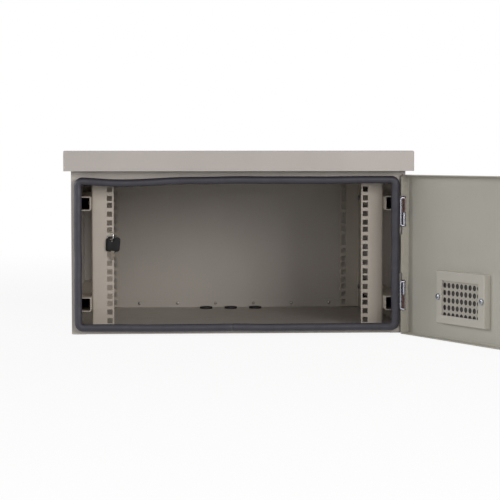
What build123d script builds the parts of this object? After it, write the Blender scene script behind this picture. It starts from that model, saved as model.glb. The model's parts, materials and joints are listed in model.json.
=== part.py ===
"""Outdoor six-unit rack cabinet: welded sheet body, rain canopy, open door, rack rails and lock.

X runs left to right seen from the front, Y from the door towards the back wall, Z up.
The origin is the centre of the base. All lengths are millimetres.
"""

from build123d import *
import math
import os

# Cabinet body
body_depth = 450.0
sheet = 1.5
bend_inner_radius = 1.2
frame_lift = 2.0
base_flange = 25.0
base_flange_relief = 15.0
floor_rise = 10.0
floor_back_flange = 14.0
stiffener_width = 60.0
stiffener_flange = 12.0
roof_flange = 15.0
panel_end_gap = 0.5
cut_overrun = 4.0

# Door opening and its lip
opening_left_strip = 13.0
opening_right_strip = 19.5
opening_bottom_strip = 12.5
opening_top_strip = 51.5
opening_corner = 10.5
lip_height = 10.0

# Rain canopy
canopy_side_overhang = 12.0
canopy_front_overhang = 28.7
canopy_fascia = 36.2
canopy_return = 8.0

# Door tray, hinge line and rest angle
door_gap = 1.0
door_depth = 17.5
door_bottom_gap = 0.5
door_top_lap = 10.0
hinge_inset = 3.0
hinge_forward = 6.2
door_open_angle = 116.0
flange_corner_cut = 4.5

# Door seal
gasket_squeeze_gap = 0.3
gasket_bulb_radius = 6.25
gasket_leg_width = 9.0
gasket_foot_gap = 0.5
gasket_slot_clearance = 0.15

# Rack rails, to the nineteen inch rack standard
rack_units = 6
rack_slot_height = 44.45
rack_opening = 450.0
rack_hole_edge = 7.55
rack_hole_side = 9.5
rack_hole_first = 6.35
rack_hole_pitch = 15.875
holes_per_unit = 3
rack_base_gap = 5.0
rack_head_room = 46.3
rail_face = 40.0
rail_leg = 30.0
rail_sheet = 2.0
rail_end_margin = 3.0
front_rail_setback = 47.0
rear_rail_back_gap = 20.5

# Side channels that carry the rails
channel_tall = 25.0
channel_reach = 32.5
channel_low_inset = 42.0
channel_high_inset = 49.7
channel_front_lead = 35.0

# Screws, nuts and rivets
screw_radius = 3.0
screw_hole_clearance = 0.2
screw_head_radius = 5.5
screw_head_height = 3.6
screw_head_bevel = 1.2
screw_tail = 6.0
nut_radius = 5.6
nut_height = 4.5
nut_thread_clearance = 0.1
front_screw_inset = 18.0
rear_screw_inset = 16.5
rivet_count = 6
rivet_pitch = 78.0
rivet_row_shift = 9.0
rivet_floor_height = 8.0
rivet_radius = 1.6
rivet_head_radius = 3.2
rivet_head_height = 1.3
rivet_head_crown = 0.5

# Cable grommets and wall fixings
grommet_count = 3
grommet_pitch = 50.0
grommet_back_distance = 35.5
grommet_flange_radius = 12.8
grommet_neck_radius = 11.0
grommet_bore_radius = 8.0
grommet_top_height = 3.0
grommet_bottom_height = 2.5
grommet_edge_bevel = 1.0
grommet_neck_clearance = 0.1
fixing_hole_radius = 4.5
fixing_side_inset = 18.0
fixing_end_inset = 33.0

# Hinges
hinge_low_rise = 69.0
hinge_high_drop = 66.3
hinge_height = 52.0
hinge_strap = 2.4
hinge_strap_depth = 10.2
hinge_web_reach = 7.5
hinge_eye_radius = 3.6
hinge_pin_radius = 2.0
hinge_pin_clearance = 0.05
hinge_pin_head_radius = 3.0
hinge_pin_head_height = 1.2
knuckle_radius = 3.2
knuckle_length = 22.0
knuckle_end_gap = 0.4
knuckle_crown = 1.4
leaf_thickness = 2.0
hinge_cut_clearance = 1.2
flange_notch_depth = 3.0
flange_notch_extra = 15.0

# Filtered vent on the door
vent_from_hinge = 172.2
vent_height = 75.3
vent_border_x = 17.0
vent_border_z = 15.5
vent_depth = 12.0
vent_sheet = 1.2
vent_edge_radius = 2.4
window_width = 106.0
window_tall = 60.5
window_drop = 1.1
window_return = 3.2
grille_sheet = 1.0
grille_margin_x = 7.0
grille_margin_z = 6.5
hole_pitch_x = 12.3
hole_pitch_z = 12.9
hole_radius = 4.5
hole_side_count = 12
hole_shift_x = -1.2
hole_shift_z = -3.8
vent_screw_inset = 7.0
louvre_count = 5
louvre_pitch = 12.4
louvre_inset = 6.0
louvre_tall = 8.5
louvre_throw = 5.0
louvre_sheet = 1.2

# Quarter-turn lock
lock_inset = 37.0
lock_head_radius = 13.0
lock_head_height = 3.0
lock_head_bevel = 1.0
lock_body_radius = 9.0
lock_hole_clearance = 0.2
lock_body_reach = 18.0
lock_plug_radius = 6.2
lock_plug_clearance = 0.05
lock_nut_radius = 13.5
lock_nut_height = 4.0
keyway_width = 2.2
keyway_tall = 8.0
keyway_depth = 9.0
cam_frame_gap = 1.0
cam_sheet = 2.5
cam_width = 14.0
cam_reach = 31.0
cam_screw_head_radius = 4.5
cam_screw_head_height = 3.0

# Spare keys on a ring
key_ring_radius = 8.2
key_ring_wire = 0.8
key_ring_lead = 2.2
key_ring_swing = 50.0
key_ring_seat_gap = 0.35
key_ring_hole_index = 11
key_head_width = 24.0
key_head_tall = 25.5
key_head_thick = 2.4
key_head_corner = 5.0
key_eye_radius = 3.8
key_eye_drop = 5.2
key_eye_side = 3.0
key_eye_hang = 0.2
key_blade_width = 6.6
key_blade_length = 16.0
key_blade_thick = 1.4
key_blade_root = 9.0
key_blade_tip = 2.4
key_notch_depth = 1.6
key_notch_pitch = 3.2
key_notch_count = 4
key_stack_gap = 0.4
key_rail_gap = 0.7
key_tilt_angles = (-2.0, -6.0)

# Overall size: the rack's opening and its units set the width and the height
rack_base = floor_rise + rack_base_gap
rack_tall = rack_units * rack_slot_height
body_width = rack_opening + 2 * (rail_face + channel_reach + sheet)
body_height = rack_base + rack_tall + rack_head_room

# Reference planes shared by the pieces
side = body_width / 2
front = -body_depth / 2
back = body_depth / 2
side_inner = side - sheet
frame_back = front + sheet
back_inner = back - sheet

opening_low_x = -side + opening_left_strip
opening_high_x = side - opening_right_strip
opening_width = opening_high_x - opening_low_x
opening_x = (opening_low_x + opening_high_x) / 2
opening_bottom = frame_lift + opening_bottom_strip
opening_height = body_height - opening_top_strip - opening_bottom
opening_z = opening_bottom + opening_height / 2

hinge_x = side - hinge_inset
hinge_y = front - hinge_forward
rim_y = front - door_gap
skin_y = rim_y - door_depth
skin_inner = skin_y + sheet
door_top = opening_bottom + opening_height + door_top_lap
door_z = (door_bottom_gap + door_top) / 2
hinge_low_height = door_bottom_gap + hinge_low_rise
hinge_high_height = door_top - hinge_high_drop

rail_low = rack_base - rail_end_margin
rail_tall = rack_tall + 2 * rail_end_margin
rail_edge = rack_opening / 2
rail_outer = rail_edge + rail_face
rack_hole_x = rail_edge + rack_hole_edge
front_rail_y = front + front_rail_setback
rear_rail_y = back - rear_rail_back_gap
front_screw_y = front_rail_y + front_screw_inset
rear_screw_y = rear_rail_y - rear_screw_inset
channel_low_height = rail_low + channel_low_inset
channel_high_height = rail_low + rail_tall - channel_high_inset
channel_heights = (channel_low_height, channel_high_height)

vent_x = hinge_x - vent_from_hinge
vent_width = window_width + 2 * vent_border_x
vent_tall = window_tall + 2 * vent_border_z
vent_screw_offset = vent_width / 2 - vent_screw_inset
louvre_length = window_width - 2 * louvre_inset
hole_columns = int(window_width / hole_pitch_x) + 1
hole_rows = int(window_tall / hole_pitch_z) + 1
window_z = vent_height - window_drop
vent_face = skin_inner + vent_depth
grille_face = vent_face - window_return
grille_back = grille_face - grille_sheet

lock_x = -side + lock_inset
cam_y = frame_back + cam_frame_gap

# Plane of the door frame's face, with its normal pointing out of the cabinet
face_plane = Plane(origin=(0, front, 0), x_dir=(1, 0, 0), z_dir=(0, -1, 0))


def block(low, high):
    """A box between two opposite corners."""
    size = [b - a for a, b in zip(low, high)]
    middle = [(a + b) / 2 for a, b in zip(low, high)]
    return Pos(*middle) * Box(*size)


def rod(start, direction, radius, length):
    """A round bar from a start point along a direction."""
    return extrude(Plane(origin=start, z_dir=direction) * Circle(radius), amount=length)


def turned(points, start, direction):
    """A body turned about an axis, from points given as radius and distance along it."""
    profile = Plane.XZ * Polygon(*points, align=None)
    return Plane(origin=start, z_dir=direction).location * revolve(profile, axis=Axis.Z)


def hexagon(start, direction, radius, height, bore):
    """A hexagon nut with a plain bore."""
    plane = Plane(origin=start, z_dir=direction)
    return extrude(plane * (RegularPolygon(radius, 6) - Circle(bore)), amount=height)


def folded(points, plane, length, thickness):
    """A sheet folded along a centreline drawn on a plane, run along the plane's normal."""
    line = FilletPolyline(*points, radius=bend_inner_radius + thickness / 2)
    return extrude(plane * trace(line, thickness), amount=length)


def mirrored(part):
    """The same piece on the other side of the cabinet."""
    return mirror(part, about=Plane.YZ)


def group(parts):
    """Separate solids of one kind kept in one node."""
    return Compound(children=list(parts))


def rack_hole_heights():
    """Heights of the rail holes, three to a rack unit, from the bottom up."""
    return [
        rack_base + unit * rack_slot_height + rack_hole_first + step * rack_hole_pitch
        for unit in range(rack_units)
        for step in range(holes_per_unit)
    ]


def right_side_panel():
    """Side wall with its base flange turned in under the floor and relieved at the front."""
    wall_x = side - sheet / 2
    flange_z = sheet / 2
    points = [(wall_x, body_height), (wall_x, flange_z), (side - base_flange, flange_z)]
    section = Plane(origin=(0, back, 0), x_dir=(1, 0, 0), z_dir=(0, -1, 0))
    panel = folded(points, section, body_depth - sheet, sheet)
    relief_back = frame_back + base_flange_relief
    relief_top = frame_lift + bend_inner_radius
    return panel - block(
        (side - base_flange - cut_overrun, front, -cut_overrun),
        (side + cut_overrun, relief_back, relief_top),
    )


def back_panel():
    """Back wall with a base flange turned forward and four wall-fixing holes."""
    wall_y = back - sheet / 2
    flange_z = sheet / 2
    points = [(wall_y, body_height), (wall_y, flange_z), (back - base_flange, flange_z)]
    section = Plane(origin=(-side_inner, 0, 0), x_dir=(0, 1, 0), z_dir=(1, 0, 0))
    panel = folded(points, section, 2 * side_inner, sheet)
    corner_x = side - base_flange - panel_end_gap
    flange_top = sheet + bend_inner_radius
    for end in (-1, 1):
        inner, outer = sorted((end * corner_x, end * (side + cut_overrun)))
        panel -= block(
            (inner, back - base_flange - cut_overrun, -cut_overrun),
            (outer, back + cut_overrun, flange_top),
        )
        for height in (fixing_end_inset, body_height - fixing_end_inset):
            start = (end * (side - fixing_side_inset), back_inner - cut_overrun, height)
            panel -= rod(start, (0, 1, 0), fixing_hole_radius, sheet + 2 * cut_overrun)
    for place in rivet_places():
        panel -= rod(place, (0, 1, 0), rivet_radius, 2 * sheet + cut_overrun)
    return panel


def roof_panel():
    """Inverted pan that closes the top, with all four edges turned down."""
    low = (-side_inner, frame_back, body_height - roof_flange)
    high = (side_inner, back_inner, body_height)
    pan = block(low, high)
    pan = fillet(pan.faces().sort_by(Axis.Z)[-1].edges(), bend_inner_radius + sheet)
    hollow = block(
        (low[0] + sheet, low[1] + sheet, low[2] - cut_overrun),
        (high[0] - sheet, high[1] - sheet, high[2] - sheet),
    )
    return pan - fillet(hollow.faces().sort_by(Axis.Z)[-1].edges(), bend_inner_radius)


def grommet_places():
    """Centres of the cable entries on the floor's top face, in a row by the back wall."""
    first = -(grommet_count - 1) / 2 * grommet_pitch
    y = back_inner - grommet_back_distance
    return [(first + index * grommet_pitch, y, floor_rise) for index in range(grommet_count)]


def rivet_places():
    """Rivet centres on the front of the floor's upturned back edge."""
    first = rivet_row_shift - (rivet_count - 1) / 2 * rivet_pitch
    z = floor_rise + rivet_floor_height
    y = back_inner - sheet
    return [(first + index * rivet_pitch, y, z) for index in range(rivet_count)]


def floor_panel():
    """Floor pan: sides turned down inside the side walls, front down, back edge up."""
    sheet_z = floor_rise - sheet / 2
    side_x = side_inner - sheet / 2
    low = sheet + bend_inner_radius
    corners = [(-side_x, low), (-side_x, sheet_z), (side_x, sheet_z), (side_x, low)]
    section = Plane(origin=(0, back_inner, 0), x_dir=(1, 0, 0), z_dir=(0, -1, 0))
    pan = folded(corners, section, back_inner - frame_back, sheet)
    pan += block(
        (-side_inner + sheet, frame_back, frame_lift),
        (side_inner - sheet, frame_back + sheet, sheet_z),
    )
    pan += block(
        (-side_inner + sheet, back_inner - sheet, sheet_z),
        (side_inner - sheet, back_inner, floor_rise + floor_back_flange),
    )
    hole = grommet_neck_radius + grommet_neck_clearance
    for x, y, z in grommet_places():
        pan -= rod((x, y, z + cut_overrun), (0, 0, -1), hole, sheet + 2 * cut_overrun)
    for place in rivet_places():
        pan -= rod(place, (0, 1, 0), rivet_radius, sheet)
    return pan


def floor_stiffener():
    """Hat section under the middle of the floor, its web on the base plane between the flanges."""
    mid = sheet / 2
    leg_y = stiffener_width / 2 - mid
    edge_y = leg_y + stiffener_flange
    top_z = floor_rise - sheet - mid
    half = [(leg_y, mid), (leg_y, top_z), (edge_y, top_z)]
    points = [(-y, z) for y, z in reversed(half)] + half
    end_x = side - base_flange - panel_end_gap
    section = Plane(origin=(-end_x, 0, 0), x_dir=(0, 1, 0), z_dir=(1, 0, 0))
    return folded(points, section, 2 * end_x, sheet)


def front_frame():
    """Door frame: face sheet with a rain lip turned out round the opening."""
    centre = Pos(opening_x, opening_z)
    opening = centre * RectangleRounded(opening_width, opening_height, opening_corner)
    lip_outer = centre * RectangleRounded(
        opening_width + 2 * sheet, opening_height + 2 * sheet, opening_corner + sheet
    )
    face_tall = body_height - frame_lift
    face = Pos(0, frame_lift + face_tall / 2) * Rectangle(body_width, face_tall)
    plate = extrude(face_plane * (face - opening), amount=-sheet)
    return plate + extrude(face_plane * (lip_outer - opening), amount=lip_height)


def door_gasket():
    """Rubber edge trim gripping the lip: two legs and a round bulb, run round the opening."""
    outline = RectangleRounded(
        opening_width + sheet, opening_height + sheet, opening_corner + sheet / 2
    )
    path = (face_plane * Pos(opening_x, opening_z) * outline).wire()
    bulb_centre = front - skin_inner - gasket_squeeze_gap - gasket_bulb_radius
    leg_length = bulb_centre - gasket_foot_gap
    legs = Pos(gasket_foot_gap + leg_length / 2, 0) * Rectangle(leg_length, gasket_leg_width)
    bulb = Pos(bulb_centre, 0) * Circle(gasket_bulb_radius)
    slot = Pos(lip_height / 2, 0) * Rectangle(lip_height, sheet + 2 * gasket_slot_clearance)
    section = Plane(origin=path @ 0, x_dir=(0, -1, 0), z_dir=path % 0)
    return sweep(section * (legs + bulb - slot), path=path)


def rain_canopy():
    """Hood over the roof: fascia at the front and sides with a drip return, open at the back."""
    half = side + canopy_side_overhang
    nose = front - canopy_front_overhang
    top = body_height + sheet
    low = (-half, nose, top - canopy_fascia)
    hood = block(low, (half, back, top))
    edges = hood.faces().sort_by(Axis.Z)[-1].edges().sort_by(Axis.Y)[:-1]
    corners = hood.edges().filter_by(Axis.Z).sort_by(Axis.Y)[:2]
    hood = fillet(edges + corners, bend_inner_radius + sheet)
    hood -= block(
        (-half + sheet, nose + sheet, low[2] + sheet),
        (half - sheet, back + cut_overrun, top - sheet),
    )
    throat = sheet + canopy_return
    return hood - block(
        (-half + throat, nose + throat, low[2] - cut_overrun),
        (half - throat, back + cut_overrun, top - sheet),
    )


def right_rail(face_y, leg_way):
    """Folded rail: hole face to the front and a leg that lies against the side channels."""
    mid = rail_sheet / 2
    leg_x = rail_outer - mid
    near = face_y + mid
    far = near + leg_way * (rail_leg - mid)
    points = [(rail_edge, near), (leg_x, near), (leg_x, far)]
    rail = folded(points, Plane(origin=(0, 0, rail_low)), rail_tall, rail_sheet)
    half = rack_hole_side / 2
    for z in rack_hole_heights():
        rail -= block(
            (rack_hole_x - half, face_y - cut_overrun, z - half),
            (rack_hole_x + half, face_y + rail_sheet + cut_overrun, z + half),
        )
    screw_y = front_screw_y if leg_way > 0 else rear_screw_y
    return rail - rail_screw_holes(screw_y)


def rail_screw_holes(screw_y):
    """Clearance holes for one right-hand rail's two screws."""
    start_x = rail_outer - rail_sheet - cut_overrun
    reach = rail_sheet + sheet + 2 * cut_overrun
    radius = screw_radius + screw_hole_clearance
    return [rod((start_x, screw_y, z), (1, 0, 0), radius, reach) for z in channel_heights]


def right_channel(height):
    """C-section rail support from behind the door frame to the back wall, open to the side."""
    web_x = rail_outer + sheet / 2
    reach = channel_tall / 2 - sheet / 2
    low, high = height - reach, height + reach
    points = [(side_inner, low), (web_x, low), (web_x, high), (side_inner, high)]
    front_end = front_rail_y - channel_front_lead
    section = Plane(origin=(0, back_inner, 0), x_dir=(1, 0, 0), z_dir=(0, -1, 0))
    channel = folded(points, section, back_inner - front_end, sheet)
    return channel - rail_screw_holes(front_screw_y) - rail_screw_holes(rear_screw_y)


def pan_screw(start, direction, length, bevel):
    """Pan-head screw seated under its head at the start point."""
    points = [
        (0, -screw_head_height),
        (screw_head_radius - bevel, -screw_head_height),
        (screw_head_radius, -screw_head_height + bevel),
        (screw_head_radius, 0),
        (screw_radius, 0),
        (screw_radius, length),
        (0, length),
    ]
    return turned(points, start, direction)


def rail_fasteners():
    """Screws through the rails and channels, and the nuts inside the channels."""
    seat_x = rail_outer - rail_sheet
    nut_x = rail_outer + sheet
    length = rail_sheet + sheet + screw_tail
    bore = screw_radius + nut_thread_clearance
    screws, nuts = [], []
    for y in (front_screw_y, rear_screw_y):
        for z in channel_heights:
            screws.append(pan_screw((seat_x, y, z), (1, 0, 0), length, screw_head_bevel))
            nuts.append(hexagon((nut_x, y, z), (1, 0, 0), nut_radius, nut_height, bore))
    both = [screws + [mirrored(part) for part in screws], nuts + [mirrored(part) for part in nuts]]
    return [group(parts) for parts in both]


def floor_rivet(place):
    """Dome-headed rivet through the floor's upturned edge and the back wall."""
    points = [
        (0, -rivet_head_height),
        (rivet_head_radius / 2, -rivet_head_height),
        (rivet_head_radius, -rivet_head_crown),
        (rivet_head_radius, 0),
        (rivet_radius, 0),
        (rivet_radius, 2 * sheet),
        (0, 2 * sheet),
    ]
    return turned(points, place, (0, 1, 0))


def grommet(place):
    """Rubber cable entry snapped into the floor: two flanges on a neck, bored through."""
    bevel = grommet_edge_bevel
    bottom = -sheet - grommet_bottom_height
    points = [
        (grommet_bore_radius, grommet_top_height),
        (grommet_flange_radius - bevel, grommet_top_height),
        (grommet_flange_radius, grommet_top_height - bevel),
        (grommet_flange_radius, 0),
        (grommet_neck_radius, 0),
        (grommet_neck_radius, -sheet),
        (grommet_flange_radius, -sheet),
        (grommet_flange_radius - bevel, bottom),
        (grommet_bore_radius, bottom),
    ]
    return turned(points, place, (0, 0, 1))


def hinge_bracket(height):
    """C-shaped strap on the frame: a web on edge and two arms with eyes for the pin."""
    web_x = hinge_x - hinge_web_reach
    low = height - hinge_height / 2
    arm_back = hinge_y + hinge_eye_radius
    strap = block(
        (web_x, front - hinge_strap_depth, low), (web_x + hinge_strap, front, low + hinge_height)
    )
    for arm_z in (low, low + hinge_height - hinge_strap):
        strap += block(
            (web_x, hinge_y - hinge_eye_radius, arm_z), (hinge_x, arm_back, arm_z + hinge_strap)
        )
        strap += rod((hinge_x, hinge_y, arm_z), (0, 0, 1), hinge_eye_radius, hinge_strap)
    bore = hinge_pin_radius + hinge_pin_clearance
    return strap - rod((hinge_x, hinge_y, low), (0, 0, 1), bore, hinge_height)


def hinge_pin(height):
    """Pin through both arms, with a small head on the upper one."""
    low = height - hinge_height / 2
    points = [
        (0, 0),
        (hinge_pin_radius, 0),
        (hinge_pin_radius, hinge_height),
        (hinge_pin_head_radius, hinge_height),
        (hinge_pin_head_radius, hinge_height + hinge_pin_head_height),
        (0, hinge_height + hinge_pin_head_height),
    ]
    return turned(points, (hinge_x, hinge_y, low), (0, 0, 1))


def hinge_leaf(height, way):
    """Knuckle on the pin beside the arm nearer mid-height, with a leaf on the door's flange."""
    seat = height + way * (hinge_height / 2 - hinge_strap - knuckle_end_gap)
    bore = hinge_pin_radius + hinge_pin_clearance
    points = [
        (bore, 0),
        (knuckle_radius, 0),
        (knuckle_radius, knuckle_length - knuckle_crown),
        (knuckle_radius - knuckle_crown / 2, knuckle_length),
        (bore, knuckle_length),
    ]
    knuckle = turned(points, (hinge_x, hinge_y, seat), (0, 0, -way))
    low, high = sorted((seat, seat - way * (knuckle_length - knuckle_crown)))
    leaf_x = side_inner - leaf_thickness
    leaf = block((leaf_x, skin_inner + bend_inner_radius, low), (side_inner, hinge_y, high))
    return knuckle + (leaf - rod((hinge_x, hinge_y, low), (0, 0, 1), bore, high - low))


def hinge_cuts():
    """Room in the door's hinge flange: a deep cut at each strap and a shallow one beside it."""
    cuts = []
    low_x, high_x = side_inner - cut_overrun, side + cut_overrun
    deep_y = hinge_y - hinge_eye_radius - hinge_cut_clearance
    for height, way in hinge_rows:
        low = height - hinge_height / 2 - hinge_cut_clearance
        high = height + hinge_height / 2 + hinge_cut_clearance + hinge_pin_head_height
        cuts.append(block((low_x, deep_y, low), (high_x, rim_y + cut_overrun, high)))
        near = height + way * hinge_height / 2
        low, high = sorted((near, near + way * flange_notch_extra))
        shallow_y = rim_y - flange_notch_depth
        cuts.append(block((low_x, shallow_y, low), (high_x, rim_y + cut_overrun, high)))
    return cuts


def flange_corner_cuts():
    """Bevels on the rim corners of the door's hinge flange."""
    cuts = []
    for corner_z, inward in ((door_bottom_gap, 1), (door_top, -1)):
        points = [
            (rim_y, corner_z),
            (rim_y - flange_corner_cut, corner_z),
            (rim_y, corner_z + inward * flange_corner_cut),
        ]
        section = Plane(origin=(side_inner, 0, 0), x_dir=(0, 1, 0), z_dir=(1, 0, 0))
        triangle = section * Polygon(*points, align=None)
        cuts.append(extrude(triangle, amount=sheet, dir=(1, 0, 0)))
    return cuts


def louvre(low_z):
    """Pressed hood and the slot behind it: an arc from the skin to an open lower edge."""
    top = low_z + louvre_tall
    lip = (skin_y - louvre_throw, low_z)
    hood_edges = [
        TangentArc(lip, (skin_y, top), tangent=(0, 1)),
        Polyline((skin_y, top), (skin_inner, top), (skin_inner, low_z), lip),
    ]
    inner_lip = (lip[0] + louvre_sheet, low_z)
    root = (skin_y, top - louvre_sheet)
    far = skin_inner + cut_overrun
    slot_edges = [
        TangentArc(inner_lip, root, tangent=(0, 1)),
        Polyline(
            root,
            (far, root[1]),
            (far, low_z),
            (skin_y, low_z),
            (skin_y, low_z - cut_overrun),
            (inner_lip[0], low_z - cut_overrun),
            inner_lip,
        ),
    ]
    half = louvre_length / 2
    ends = ((half, hood_edges), (half - louvre_sheet, slot_edges))
    solids = []
    for reach, edges in ends:
        section = Plane(origin=(vent_x - reach, 0, 0), x_dir=(0, 1, 0), z_dir=(1, 0, 0))
        outline = make_face([edge for line in edges for edge in line.edges()])
        solids.append(extrude(section * outline, amount=2 * reach))
    return solids


def door_panel():
    """Folded door tray with hinge cut-outs, a bank of louvres and the lock hole."""
    tray = block((-side, skin_y, door_bottom_gap), (side, rim_y, door_top))
    tray = fillet(tray.faces().sort_by(Axis.Y)[0].edges(), bend_inner_radius + sheet)
    hollow = block(
        (-side_inner, skin_inner, door_bottom_gap + sheet),
        (side_inner, rim_y + cut_overrun, door_top - sheet),
    )
    tray -= fillet(hollow.faces().sort_by(Axis.Y)[0].edges(), bend_inner_radius)
    for cut in hinge_cuts() + flange_corner_cuts():
        tray -= cut
    first = vent_height - (louvre_count - 1) / 2 * louvre_pitch - louvre_tall / 2
    for index in range(louvre_count):
        hood, slot = louvre(first + index * louvre_pitch)
        tray = tray + hood - slot
    hole = lock_body_radius + lock_hole_clearance
    start = (lock_x, skin_y - cut_overrun, door_z)
    return tray - rod(start, (0, 1, 0), hole, sheet + 2 * cut_overrun)


def vent_cover():
    """Shallow folded box over the vent, with a window whose edges turn in towards the grille."""
    half_x, half_z = vent_width / 2, vent_tall / 2
    box = block(
        (vent_x - half_x, skin_inner, vent_height - half_z),
        (vent_x + half_x, vent_face, vent_height + half_z),
    )
    box = fillet(box.faces().sort_by(Axis.Y)[-1].edges(), vent_edge_radius)
    hollow = block(
        (vent_x - half_x + vent_sheet, skin_inner - cut_overrun, vent_height - half_z + vent_sheet),
        (vent_x + half_x - vent_sheet, vent_face - vent_sheet, vent_height + half_z - vent_sheet),
    )
    hollow = fillet(hollow.faces().sort_by(Axis.Y)[-1].edges(), vent_edge_radius - vent_sheet)
    plane = Plane(origin=(vent_x, vent_face, window_z), x_dir=(1, 0, 0), z_dir=(0, -1, 0))
    window = Rectangle(window_width, window_tall)
    rim = Rectangle(window_width + 2 * vent_sheet, window_tall + 2 * vent_sheet)
    cover = box - hollow - extrude(plane * window, amount=window_return)
    cover += extrude(plane * (rim - window), amount=window_return)
    hole = screw_radius + screw_hole_clearance
    for x in vent_screw_xs():
        start = (x, vent_face + cut_overrun, vent_height)
        cover -= rod(start, (0, -1, 0), hole, vent_sheet + 2 * cut_overrun)
    return cover


def vent_screw_xs():
    """Places across the door of the two cover screws."""
    return [vent_x - vent_screw_offset, vent_x + vent_screw_offset]


def vent_grille():
    """Perforated plate behind the window: a grid of round holes."""
    wide = window_width + 2 * grille_margin_x
    tall = window_tall + 2 * grille_margin_z
    plane = Plane(origin=(vent_x, grille_face, window_z), x_dir=(1, 0, 0), z_dir=(0, -1, 0))
    holes = [
        place * RegularPolygon(hole_radius, hole_side_count)
        for place in GridLocations(hole_pitch_x, hole_pitch_z, hole_columns, hole_rows)
    ]
    shifted = [Pos(hole_shift_x, hole_shift_z) * hole for hole in holes]
    return extrude(plane * (Rectangle(wide, tall) - shifted), amount=grille_sheet)


def filter_mat():
    """Filter pad held between the perforated plate and the door skin."""
    half_x = window_width / 2 + grille_margin_x
    half_z = window_tall / 2 + grille_margin_z
    return block(
        (vent_x - half_x, skin_inner, window_z - half_z),
        (vent_x + half_x, grille_back, window_z + half_z),
    )


def lock_barrel():
    """Lock housing: bevelled head outside the door, round body through it, bored for the plug."""
    bore = lock_plug_radius + lock_plug_clearance
    points = [
        (bore, -lock_head_height),
        (lock_head_radius - lock_head_bevel, -lock_head_height),
        (lock_head_radius, -lock_head_height + lock_head_bevel),
        (lock_head_radius, 0),
        (lock_body_radius, 0),
        (lock_body_radius, lock_body_reach),
        (bore, lock_body_reach),
    ]
    return turned(points, (lock_x, skin_y, door_z), (0, 1, 0))


def lock_plug():
    """Turning core of the lock, with a keyway in its outer face."""
    face_y = skin_y - lock_head_height
    plug = rod((lock_x, face_y, door_z), (0, 1, 0), lock_plug_radius, cam_y - face_y)
    return plug - block(
        (lock_x - keyway_width / 2, face_y - cut_overrun, door_z - keyway_tall / 2),
        (lock_x + keyway_width / 2, face_y + keyway_depth, door_z + keyway_tall / 2),
    )


def lock_cam():
    """Locking bar on the end of the plug, upright when the lock is open."""
    half = cam_width / 2
    bar = Pos(0, (cam_reach - half) / 2) * Rectangle(cam_width, cam_reach - half)
    outline = bar + Circle(half) + Pos(0, cam_reach - half) * Circle(half)
    plane = Plane(origin=(lock_x, cam_y, door_z), x_dir=(-1, 0, 0), z_dir=(0, 1, 0))
    hole = screw_radius + screw_hole_clearance
    return extrude(plane * (outline - Circle(hole)), amount=cam_sheet)


def cam_screw():
    """Screw that holds the locking bar on the plug."""
    points = [
        (0, 0),
        (screw_radius, 0),
        (screw_radius, cam_sheet),
        (cam_screw_head_radius, cam_sheet),
        (cam_screw_head_radius, cam_sheet + cam_screw_head_height),
        (0, cam_sheet + cam_screw_head_height),
    ]
    return turned(points, (lock_x, cam_y, door_z), (0, 1, 0))


def ring_rise(along):
    """Height of the ring's wire over its centre, at a distance along its upright plane."""
    return (key_ring_radius**2 - along**2) ** 0.5


def key_ring_place():
    """Centre of the ring, which hangs on the left front rail's web under one of its holes."""
    web_top = rack_hole_heights()[key_ring_hole_index] - rack_hole_side / 2
    swing = math.radians(key_ring_swing)
    x = -rack_hole_x + key_ring_lead / math.tan(swing)
    y = front_rail_y + rail_sheet / 2 - key_ring_lead
    rail_back = (front_rail_y + rail_sheet - y) / math.sin(swing)
    return x, y, web_top + key_ring_seat_gap + key_ring_wire - ring_rise(rail_back)


def key_ring():
    """Closed wire ring in an upright plane, through two neighbouring holes of the rail."""
    upright = Rot(0, 0, -key_ring_swing) * Rot(90, 0, 0)
    return Pos(*key_ring_place()) * upright * Torus(key_ring_radius, key_ring_wire)


def key_eye(index):
    """Place of a key's eye, where the ring's lower half passes through the head."""
    ring_x, ring_y, ring_z = key_ring_place()
    back_y = front_rail_y - key_rail_gap - index * (key_head_thick + key_stack_gap)
    swing = math.radians(key_ring_swing)
    alongs = [(ring_y - y) / math.sin(swing) for y in (back_y, back_y - key_head_thick)]
    drop = sum(ring_rise(along) for along in alongs) / len(alongs)
    x = ring_x + sum(alongs) / len(alongs) * math.cos(swing)
    return x, back_y, ring_z - drop - key_eye_hang


def spare_key(index):
    """Key hanging on the ring: a steel blade set in a moulded head, turned a little in its plane."""
    eye_plane = Plane(origin=key_eye(index), x_dir=(1, 0, 0), z_dir=(0, -1, 0))
    tilted = eye_plane * Rot(0, 0, key_tilt_angles[index])
    middle = Pos(key_eye_side, 0)
    head_bottom = key_eye_drop - key_head_tall
    shape = middle * Pos(0, key_eye_drop - key_head_tall / 2) * RectangleRounded(
        key_head_width, key_head_tall, key_head_corner
    )
    blade_top = head_bottom + key_blade_root
    tip = head_bottom - key_blade_length
    half = key_blade_width / 2
    outline = Polygon(
        (-half, blade_top),
        (-half, tip + key_blade_tip),
        (0, tip),
        (half, tip + key_blade_tip),
        (half, blade_top),
        align=None,
    )
    for notch in range(1, key_notch_count + 1):
        notch_z = head_bottom - notch * key_notch_pitch
        notch_cut = Pos(half, notch_z) * Rot(0, 0, 45) * Rectangle(key_notch_depth, key_notch_depth)
        outline -= notch_cut
    inset = (key_head_thick - key_blade_thick) / 2
    blade = middle * Pos(0, 0, inset) * extrude(outline, amount=key_blade_thick)
    head = extrude(shape - Circle(key_eye_radius), amount=key_head_thick) - blade
    return tilted * head, tilted * blade


# Each hinge's height, and the way from it to the door's mid-height
hinge_rows = ((hinge_low_height, 1), (hinge_high_height, -1))

rail_screws, rail_nuts = rail_fasteners()
front_right_rail = right_rail(front_rail_y, 1)
rear_right_rail = right_rail(rear_rail_y, -1)
low_right_channel = right_channel(channel_low_height)
high_right_channel = right_channel(channel_high_height)

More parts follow.
